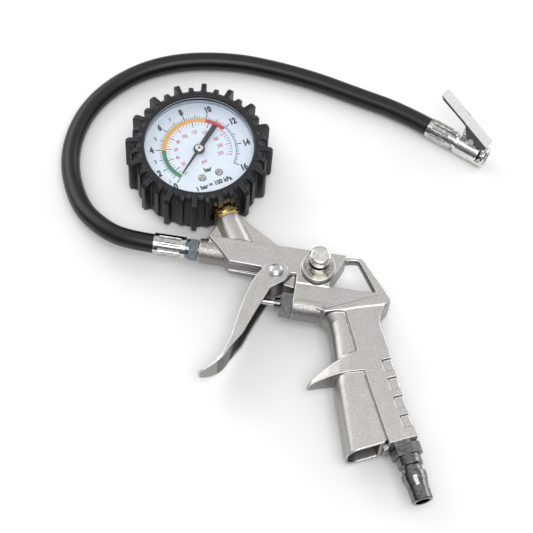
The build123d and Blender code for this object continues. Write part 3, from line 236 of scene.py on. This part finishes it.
def plated(name, base, rough, streak=0.0, edge=0.15, dirt=0.12, metallic=1.0):
    m = Mat(name).set(Metallic=metallic)
    fine = m.noise(5.0, 4.0, 0.6)
    patch = m.noise(0.45, 3.0, 0.55)
    lo = tuple(c * (1 - dirt * 2) for c in base)
    hi = tuple(min(1, c * (1 + dirt)) for c in base)
    m.link(m.ramp(m.math("ADD", m.math("MULTIPLY", fine, 0.4), m.math("MULTIPLY", patch, 0.6)), (0.34, lo), (0.64, hi)), "Base Color")
    m.link(m.maprange(patch, 0.3, 0.7, rough * 0.75, rough * 1.35), "Roughness")
    m.bump(fine, 0.02 + streak, 0.4, edge)
    return m.m


def rubber(name, base, rough, grain_scale, depth, edge=0.0, wear_and_highlight=None, spec=0.5):
    m = Mat(name).set(Metallic=0.0, Specular_IOR_Level=spec)
    g = m.noise(grain_scale, 4.0, 0.6)
    p = m.noise(0.25, 3.0, 0.5)
    col = m.ramp(p, (0.35, tuple(c * 0.8 for c in base)), (0.65, tuple(c * 1.25 for c in base)))
    if wear_and_highlight:
        # edges lightened by pointiness, partly wear and partly painted highlight
        e = m.maprange(m.pointiness(), 0.51, 0.60, 0.0, 0.8)
        col = m.mix(e, col, wear_and_highlight)
    m.link(col, "Base Color")
    m.link(m.maprange(g, 0.3, 0.7, rough - 0.06, rough + 0.08), "Roughness")
    m.bump(g, depth, 0.5, edge)
    return m.m


MATS = {
    "cast_aluminium": cast_metal("cast_aluminium", (0.54, 0.524, 0.503), 0.36, (0.92, 0.91, 0.89)),
    "plated_steel": plated("plated_steel", (0.60, 0.60, 0.60), 0.26),
    "dark_steel": plated("dark_steel", (0.20, 0.20, 0.205), 0.12, dirt=0.30),
    "zinc_steel": plated("zinc_steel", (0.21, 0.235, 0.26), 0.14, dirt=0.2),
    "nickel": plated("nickel", (0.76, 0.75, 0.73), 0.13),
    "chrome": plated("chrome", (0.82, 0.82, 0.82), 0.08, dirt=0.05),
    "brass": plated("brass", (0.80, 0.62, 0.27), 0.20),
    "spring_steel": plated("spring_steel", (0.50, 0.45, 0.40), 0.30, edge=0.0),
    "seal_rubber": rubber("seal_rubber", (0.02, 0.02, 0.02), 0.6, 3.0, 0.03),
    "boot_rubber": rubber("boot_rubber", (0.011, 0.0115, 0.013), 0.40, 2.2, 0.04, wear_and_highlight=(0.05, 0.052, 0.056), spec=0.34),
    "hose_rubber": rubber("hose_rubber", (0.006, 0.006, 0.007), 0.33, 1.4, 0.03, spec=0.42),
    "case_steel": plated("case_steel", (0.50, 0.54, 0.60), 0.40, dirt=0.05, metallic=0.2),
    "pointer_black": rubber("pointer_black", (0.02, 0.02, 0.022), 0.35, 4.0, 0.01, edge=0.08),
}


def lever_metal():
    """Satin nickel on the back of the clip lever; its cheeks are darkened as painted shade."""
    a = math.radians(-23.5)
    r = math.radians(25.0)
    side = (math.cos(r) * -math.sin(a), math.cos(r) * math.cos(a), -math.sin(r))
    m = Mat("chrome").set(Metallic=1.0)
    fine = m.noise(4.0, 4.0, 0.6)
    patch = m.noise(0.5, 3.0, 0.5)
    d = m.t.nodes.new("ShaderNodeVectorMath")
    d.operation = "DOT_PRODUCT"
    d.inputs[1].default_value = side
    m.t.links.new(m.t.nodes.new("ShaderNodeTexCoord").outputs["Normal"], d.inputs[0])
    cheek_shade = m.maprange(m.math("ABSOLUTE", d.outputs["Value"]), 0.80, 0.95, 0.0, 1.0)
    col = m.ramp(m.math("ADD", m.math("MULTIPLY", fine, 0.5), m.math("MULTIPLY", patch, 0.5)), (0.35, (0.36, 0.36, 0.357)), (0.65, (0.50, 0.50, 0.495)))
    # painted shade: the cheeks are darkened
    m.link(m.mix(m.math("MULTIPLY", cheek_shade, 0.9), col, (0.10, 0.10, 0.10)), "Base Color")
    m.link(m.maprange(patch, 0.3, 0.7, 0.36, 0.48), "Roughness")
    m.bump(fine, 0.02, 0.4, 0.2)
    return m.m


def lens_material():
    m = bpy.data.materials.new("lens")
    m.use_nodes = True
    t = m.node_tree
    t.nodes.remove(t.nodes["Principled BSDF"])
    out = t.nodes["Material Output"]
    tr = t.nodes.new("ShaderNodeBsdfTransparent")
    tr.inputs["Color"].default_value = (0.985, 0.99, 1.0, 1)
    gl = t.nodes.new("ShaderNodeBsdfGlossy")
    gl.inputs["Roughness"].default_value = 0.03
    lw = t.nodes.new("ShaderNodeLayerWeight")
    lw.inputs["Blend"].default_value = 0.5
    pw = t.nodes.new("ShaderNodeMath")
    pw.operation = "POWER"
    pw.inputs[1].default_value = 5.0
    fr = t.nodes.new("ShaderNodeMath")
    fr.operation = "MULTIPLY_ADD"
    fr.inputs[1].default_value = 0.96
    fr.inputs[2].default_value = 0.03
    t.links.new(lw.outputs["Facing"], pw.inputs[0])
    t.links.new(pw.outputs[0], fr.inputs[0])
    mx = t.nodes.new("ShaderNodeMixShader")
    t.links.new(fr.outputs[0], mx.inputs[0])
    t.links.new(tr.outputs[0], mx.inputs[1])
    t.links.new(gl.outputs[0], mx.inputs[2])
    t.links.new(mx.outputs[0], out.inputs["Surface"])
    return m


MATS["lens"] = lens_material()
OWN = {"chuck_lever": lever_metal(),
       "bleed_bushing": plated("bushing_nickel", (0.50, 0.48, 0.45), 0.16, dirt=0.25),
       "dial_screws": plated("screw_steel", (0.50, 0.49, 0.44), 0.24, dirt=0.25)}
OWN["ferrule_gun_end"] = OWN["ferrule_chuck_end"] = plated("ferrule_nickel", (0.60, 0.60, 0.58), 0.12, dirt=0.28)


def dial_material():
    m = Mat("dial_white").set(Metallic=0.0)
    n = m.noise(0.35, 2.0, 0.5)
    m.link(m.ramp(n, (0.3, (0.72, 0.79, 0.86)), (0.7, (0.76, 0.83, 0.89))), "Base Color")
    m.set(Roughness=0.35)
    m.bump(m.noise(6.0, 2.0, 0.5), 0.008, 0.3)
    return m.m


MATS["dial_white"] = dial_material()


def ink(name, color, rough=0.45):
    m = Mat(name).set(Metallic=0.0, Roughness=rough)
    n = m.noise(3.0, 3.0, 0.6)
    m.link(m.ramp(n, (0.3, tuple(c * 0.86 for c in color)), (0.7, tuple(min(1, c * 1.1) for c in color))), "Base Color")
    return m.m


INK_BLACK = ink("ink_black", (0.025, 0.027, 0.035))
INK_MAGENTA = ink("ink_magenta", (0.50, 0.08, 0.18))
INK_GREEN = ink("ink_green", (0.045, 0.235, 0.11))
INK_AMBER = ink("ink_amber", (0.80, 0.42, 0.06))
INK_RED = ink("ink_red", (0.60, 0.045, 0.06))

slot_of = {s["node"]: s["material_slot"] for s in frame["record"]["subparts"]}
for name, ob in NODES.items():
    ob.data.materials.clear()
    ob.data.materials.append(OWN.get(name) or MATS[slot_of[name]])


def new_object(name, mesh, body, material, replaces=(), matrix=None):
    ob = bpy.data.objects.new(name, mesh)
    coll.objects.link(ob)
    if matrix is not None:
        ob.matrix_world = matrix
    mesh.materials.clear()
    mesh.materials.append(material)
    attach(ob, body)
    if replaces:
        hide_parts(*replaces)
    return ob


def apply_modifiers(ob):
    dg = bpy.context.evaluated_depsgraph_get()
    me = bpy.data.meshes.new_from_object(ob.evaluated_get(dg))
    old = ob.data
    ob.modifiers.clear()
    ob.data = me
    bpy.data.meshes.remove(old)
    return ob


def softened(node, name, voxel, body, material, smooth=4, factor=0.5, ratio=None, skin_and_shade=None, inside=None):
    """A copy of a CAD piece with its edges rounded as a casting or a moulding has them."""
    me = NODES[node].data.copy()
    me.materials.clear()
    ob = bpy.data.objects.new(name, me)
    coll.objects.link(ob)
    bm = bmesh.new()
    bm.from_mesh(me)
    bmesh.ops.remove_doubles(bm, verts=bm.verts, dist=1e-7)
    bm.to_mesh(me)
    bm.free()
    r = ob.modifiers.new("r", "REMESH")
    r.mode = "VOXEL"
    r.voxel_size = voxel * MM
    r.use_smooth_shade = True
    s = ob.modifiers.new("s", "SMOOTH")
    s.factor = factor
    s.iterations = smooth
    if ratio:
        d = ob.modifiers.new("d", "DECIMATE")
        d.ratio = ratio
    apply_modifiers(ob)
    ob.data.materials.clear()
    ob.data.materials.append(material)
    for p in ob.data.polygons:
        p.use_smooth = True
    for att_name, rule in (("rough_skin_and_shade", skin_and_shade), ("channel_painted_shade", inside)):
        if rule:
            att = ob.data.attributes.new(att_name, "FLOAT", "POINT")
            for v in ob.data.vertices:
                att.data[v.index].value = rule(ob.matrix_world @ v.co / MM - PIN)
    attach(ob, body)
    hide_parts(node)
    return ob


def trigger_inside(p):
    """1 on the faces inside the trigger's channel, where the casting is darkened as painted shade."""
    return max(0.0, min(1.0, (p.z + 9.4) / 0.5)) * max(0.0, min(1.0, (8.0 - p.z) / 0.4)) * max(0.0, min(1.0, (-5.0 - p.y) / 4.0)) \
        * (1.0 if p.x > -22.0 else 0.0)


def gun_skin(p):
    """1 on the barrel's round nose and the valve chamber, 0 on the blasted flats; the casting there is rougher and
    speckled, and darkened partly as painted shade.
    """
    r1 = math.hypot(p.y - 10.35, p.z)
    a = max(0.0, min(1.0, (7.25 - r1) / 0.5)) * max(0.0, min(1.0, (-9.0 - p.x) / 3.0)) * max(0.0, min(1.0, (p.x + 41.7) / 0.3))
    r2 = math.hypot(p.y + 13.3, p.z)
    low = max(0.0, min(1.0, (-12.0 - p.y) / 3.0))
    b = max(0.0, min(1.0, (8.0 - r2) / 0.4)) * low * max(0.0, min(1.0, (36.0 - p.x) / 8.0)) * max(0.0, min(1.0, (p.x - 11.0) / 0.3))
    return max(a, b)


# ---------------------------------------------------------------------------
# hose: one smooth line from the gun to the chuck
# ---------------------------------------------------------------------------
ROUTE = [(-66.0, 10.35, 0.0), (-80.9, 10.35, 0.0), (-95.0, 15.8, -1.8), (-110.4, 29.2, -5.6),
         (-122.0, 56.6, -9.0), (-120.6, 83.0, -9.0), (-110.1, 104.5, -9.0), (-91.7, 122.0, -9.0),
         (-69.5, 132.0, -9.0), (-42.9, 136.3, -9.0), (-20.3, 135.3, -9.0), (5.3, 131.6, -9.0),
         (28.5, 125.7, -9.0), (54.25, 119.26, -8.1), (71.4, 111.8, -8.1)]
curve = bpy.data.curves.new("hose", "CURVE")
curve.dimensions = "3D"
spline = curve.splines.new("NURBS")
spline.points.add(len(ROUTE) - 1)
for pt, co in zip(spline.points, ROUTE):
    pt.co = (*P(*co), 1.0)
spline.order_u = 3
spline.use_endpoint_u = True
spline.resolution_u = 16
curve.bevel_depth = 5.1 * MM
curve.bevel_resolution = 12
curve.use_fill_caps = True
hose = bpy.data.objects.new("hose", curve)
coll.objects.link(hose)
curve.materials.append(MATS["hose_rubber"])
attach(hose, "gun")
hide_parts("hose_tube")

# ---------------------------------------------------------------------------
# dial printing
# ---------------------------------------------------------------------------
INK_Z = 8.5 + 0.02
ZERO, ONE, PER = 52.1, 60.6, 16.9


def dial_angle(bar):
    return ZERO + (ONE - ZERO) * bar if bar < 1 else ONE + PER * (bar - 1)


def polar(r, cw):
    a = math.radians(cw)
    return Vector((-math.sin(a) * r, -math.cos(a) * r))


def flat(name, polys, material, z=INK_Z):
    bm = bmesh.new()
    for poly in polys:
        vs = [bm.verts.new((x * MM, y * MM, z * MM)) for x, y in poly]
        bm.faces.new(vs)
    bmesh.ops.recalc_face_normals(bm, faces=bm.faces)
    for f in bm.faces:
        if f.normal.z < 0:
            f.normal_flip()
    me = bpy.data.meshes.new(name)
    bm.to_mesh(me)
    bm.free()
    return new_object(name, me, "gun", material, matrix=GAUGE)


def arc(r0, r1, a0, a1, step=2.0):
    n = max(2, int(abs(a1 - a0) / step))
    out = []
    for i in range(n):
        b0, b1 = a0 + (a1 - a0) * i / n, a0 + (a1 - a0) * (i + 1) / n
        out.append([polar(r0, b0), polar(r1, b0), polar(r1, b1), polar(r0, b1)])
    return out


def tick(r0, r1, cw, w):
    d = polar(1.0, cw)
    s = Vector((-d.y, d.x)) * w / 2
    return [d * r0 - s, d * r1 - s, d * r1 + s, d * r0 + s]


flat("dial_band_green", arc(17.7, 20.0, dial_angle(0), dial_angle(4)), INK_GREEN)
flat("dial_band_amber", arc(17.7, 20.0, dial_angle(4), dial_angle(10)), INK_AMBER)
flat("dial_band_red", arc(17.7, 20.0, dial_angle(10), dial_angle(12)), INK_RED)
black, magenta = [], []
black += arc(19.8, 20.08, dial_angle(12), dial_angle(16))
black += arc(17.65, 17.8, dial_angle(12), dial_angle(15.2))
b = 0.0
while b <= 16.001:
    k = round(b * 5)
    cw = dial_angle(b)
    if k % 10 == 0:
        black.append(tick(19.9, 23.2, cw, 0.52))
    elif k % 5 == 0:
        black.append(tick(19.9, 22.1, cw, 0.42))
    elif b > 1:
        black.append(tick(19.9, 21.3, cw, 0.28))
    b += 0.2
PSI = 0.0689476
for v in (20, 40, 60, 80, 100, 125, 150, 180, 200, 220):
    (black if v in (20, 40, 80, 125, 150) else magenta).append(tick(14.6, 17.7, dial_angle(v * PSI), 0.44))
v = 10
while v <= 220:
    if v not in (20, 40, 60, 80, 100, 200, 220, 180, 150):
        (magenta if v < 180 else black).append(tick(15.9, 17.7, dial_angle(v * PSI), 0.26))
    v += 5
flat("dial_scale_black", black, INK_BLACK, INK_Z + 0.02)
flat("dial_scale_magenta", magenta, INK_MAGENTA, INK_Z + 0.02)


def ring(cx, cy, r0, r1, n=28):
    ps = [Vector((math.cos(2 * math.pi * i / n), math.sin(2 * math.pi * i / n))) for i in range(n + 1)]
    c = Vector((cx, cy))
    return [[c + a * r0, c + a * r1, c + b * r1, c + b * r0] for a, b in zip(ps, ps[1:])]


def in_gauge(node):
    back = GAUGE.inverted() @ NODES[node].matrix_world
    return [(back @ v.co) / MM for v in NODES[node].data.vertices]


# painted shadow round each screw, and a black disc painted as shade in the dimple of the hub
shade = []
for side in (-1, 1):
    pts = [q for q in in_gauge("dial_screws") if q.x * side > 0 and q.z > INK_Z]
    lo_x, hi_x = min(q.x for q in pts), max(q.x for q in pts)
    lo_y, hi_y = min(q.y for q in pts), max(q.y for q in pts)
    r = (hi_x - lo_x) / 2
    shade += ring((lo_x + hi_x) / 2, (lo_y + hi_y) / 2, r - 0.05, r + 0.22)
flat("screw_painted_shadow", shade, INK_BLACK, INK_Z + 0.03)
top = max(q.z for q in in_gauge("pointer_hub"))
# painted shade: a black disc stands for the hollow of the hub's dimple
bm = bmesh.new()
bm.faces.new([bm.verts.new((math.cos(a) * 0.62 * MM, math.sin(a) * 0.62 * MM, (top + 0.03) * MM))
              for a in (2 * math.pi * i / 24 for i in range(24))])
me = bpy.data.meshes.new("hub_dimple_shade")
bm.to_mesh(me)
bm.free()
new_object("hub_dimple_shade", me, "needle", INK_BLACK, matrix=GAUGE)


def text_piece(name, items, material, bold=0.0):
    """items: (text, x, y, height mm, turn degrees, width factor)"""
    objs = []
    for s, x, y, h, turn, wf in items:
        c = bpy.data.curves.new("t", "FONT")
        c.body = s
        c.size = h * 1.37 * MM
        c.align_x = "CENTER"
        c.align_y = "CENTER"
        c.offset = bold * MM
        c.resolution_u = 4
        c.fill_mode = "FRONT"
        o = bpy.data.objects.new("t", c)
        coll.objects.link(o)
        bpy.context.view_layer.update()
        me = bpy.data.meshes.new_from_object(o.evaluated_get(bpy.context.evaluated_depsgraph_get()))
        bpy.data.objects.remove(o)
        xs = [v.co.x for v in me.vertices]
        ys = [v.co.y for v in me.vertices]
        cx, cy = (min(xs) + max(xs)) / 2, (min(ys) + max(ys)) / 2
        me.transform(Matrix.Translation((x * MM, y * MM, (INK_Z + 0.03) * MM)) @ Matrix.Rotation(math.radians(turn), 4, "Z")
                     @ Matrix.Diagonal((wf, 1, 1, 1)) @ Matrix.Translation((-cx, -cy, 0)))
        objs.append(me)
    bm = bmesh.new()
    for me in objs:
        bm.from_mesh(me)
    out = bpy.data.meshes.new(name)
    bm.to_mesh(out)
    bm.free()
    for me in objs:
        bpy.data.meshes.remove(me)
    return new_object(name, out, "gun", material, matrix=GAUGE)


big, small = [], []
for n in range(0, 17, 2):
    p = polar(25.6 if n < 10 else 26.2, dial_angle(n))
    if n == 0:
        p = polar(25.4, dial_angle(0) - 1.0)
    big.append((str(n), p.x, p.y, 3.7, 0, 0.74))
for n in (1, 3, 5, 7):
    p = polar(24.5, dial_angle(n))
    small.append((str(n), p.x, p.y, 2.2, 0, 0.75))
text_piece("dial_numerals", big, INK_BLACK, 0.30)
text_piece("dial_numerals_odd", small, INK_BLACK, 0.10)
psi = []
for v in (20, 40, 60, 80, 100, 125, 150, 180, 200, 220):
    p = polar(11.9 if v == 20 else 12.4 if v < 100 else 11.6, dial_angle(v * PSI))
    psi.append((str(v), p.x, p.y, 2.2, 0, 0.72))
psi.append(("psi", 0, -7.6, 2.5, 0, 0.85))
text_piece("dial_psi", psi, INK_MAGENTA, 0.05)
text_piece("dial_words", [("bar", 0, -12.6, 2.7, 0, 0.85), ("1 bar = 100 kPa", 0, -21.8, 2.7, 0, 0.85)], INK_BLACK, 0.17)

# ---------------------------------------------------------------------------
# castings
# ---------------------------------------------------------------------------
gun = softened("gun_body", "gun_casting", 0.30, "gun", MATS["cast_aluminium"], smooth=4, skin_and_shade=gun_skin)
trig = softened("trigger_lever", "trigger_casting", 0.30, "trigger", MATS["cast_aluminium"], smooth=4, inside=trigger_inside)
boot = softened("gauge_boot", "gauge_boot_moulding", 0.40, "gun", MATS["boot_rubber"], smooth=3)

# ---------------------------------------------------------------------------
# floor, light
# ---------------------------------------------------------------------------
bm = bmesh.new()
bmesh.ops.create_grid(bm, x_segments=8, y_segments=8, size=2.5)
me = bpy.data.meshes.new("floor")
bm.to_mesh(me)
bm.free()
floor = bpy.data.objects.new("floor", me)
coll.objects.link(floor)
floor.location = (0, 0, -0.0002)
fm = Mat("floor").set(Roughness=0.75)
fm.link(fm.ramp(fm.noise(0.02, 2.0, 0.5), (0.3, (0.86, 0.86, 0.86)), (0.7, (0.90, 0.90, 0.90))), "Base Color")
me.materials.append(fm.m)

world = bpy.data.worlds.new("world")
scene.world = world
world.use_nodes = True
wt = world.node_tree
bg = wt.nodes["Background"]
tc = wt.nodes.new("ShaderNodeTexCoord")
sp = wt.nodes.new("ShaderNodeSeparateXYZ")
sky = wt.nodes.new("ShaderNodeValToRGB")
wt.links.new(tc.outputs["Generated"], sp.inputs[0])
up = wt.nodes.new("ShaderNodeMath")
up.operation = "MULTIPLY_ADD"
up.inputs[1].default_value = 0.85
back = wt.nodes.new("ShaderNodeMath")
back.operation = "MULTIPLY"
back.inputs[1].default_value = 0.25
wt.links.new(sp.outputs["Y"], back.inputs[0])
wt.links.new(sp.outputs["Z"], up.inputs[0])
wt.links.new(back.outputs[0], up.inputs[2])
wt.links.new(up.outputs[0], sky.inputs["Fac"])
wt.links.new(sky.outputs["Color"], bg.inputs["Color"])
el = sky.color_ramp.elements
el[0].position, el[0].color = 0.0, (0.10, 0.10, 0.105, 1)
el[1].position, el[1].color = 1.0, (0.95, 0.95, 0.95, 1)
for pos, v in ((0.15, 0.15), (0.40, 0.36), (0.60, 0.62), (0.82, 0.90)):
    e = el.new(pos)
    e.color = (v, v, v * 1.01, 1)
bg.inputs["Strength"].default_value = 1.0


def area(name, loc, target, size, power, color=(1, 1, 1), size_y=None):
    d = bpy.data.lights.new(name, "AREA")
    d.energy = power
    d.color = color
    d.shape = "RECTANGLE" if size_y else "SQUARE"
    d.size = size
    if size_y:
        d.size_y = size_y
    o = bpy.data.objects.new(name, d)
    coll.objects.link(o)
    o.location = loc
    o.rotation_euler = (Vector(target) - Vector(loc)).to_track_quat("-Z", "Y").to_euler()
    return o


area("key", (-0.91, 0.54, 0.56), (0, 0, 0), 1.1, 6.1, size_y=0.8)
area("right", (0.89, 0.76, 0.34), (0, 0, 0), 1.2, 5.6, size_y=0.7)
area("front", (0.13, -0.46, 1.21), (0, 0, 0), 0.8, 8.0)

scene.view_settings.view_transform = "Standard"
scene.view_settings.look = "None"
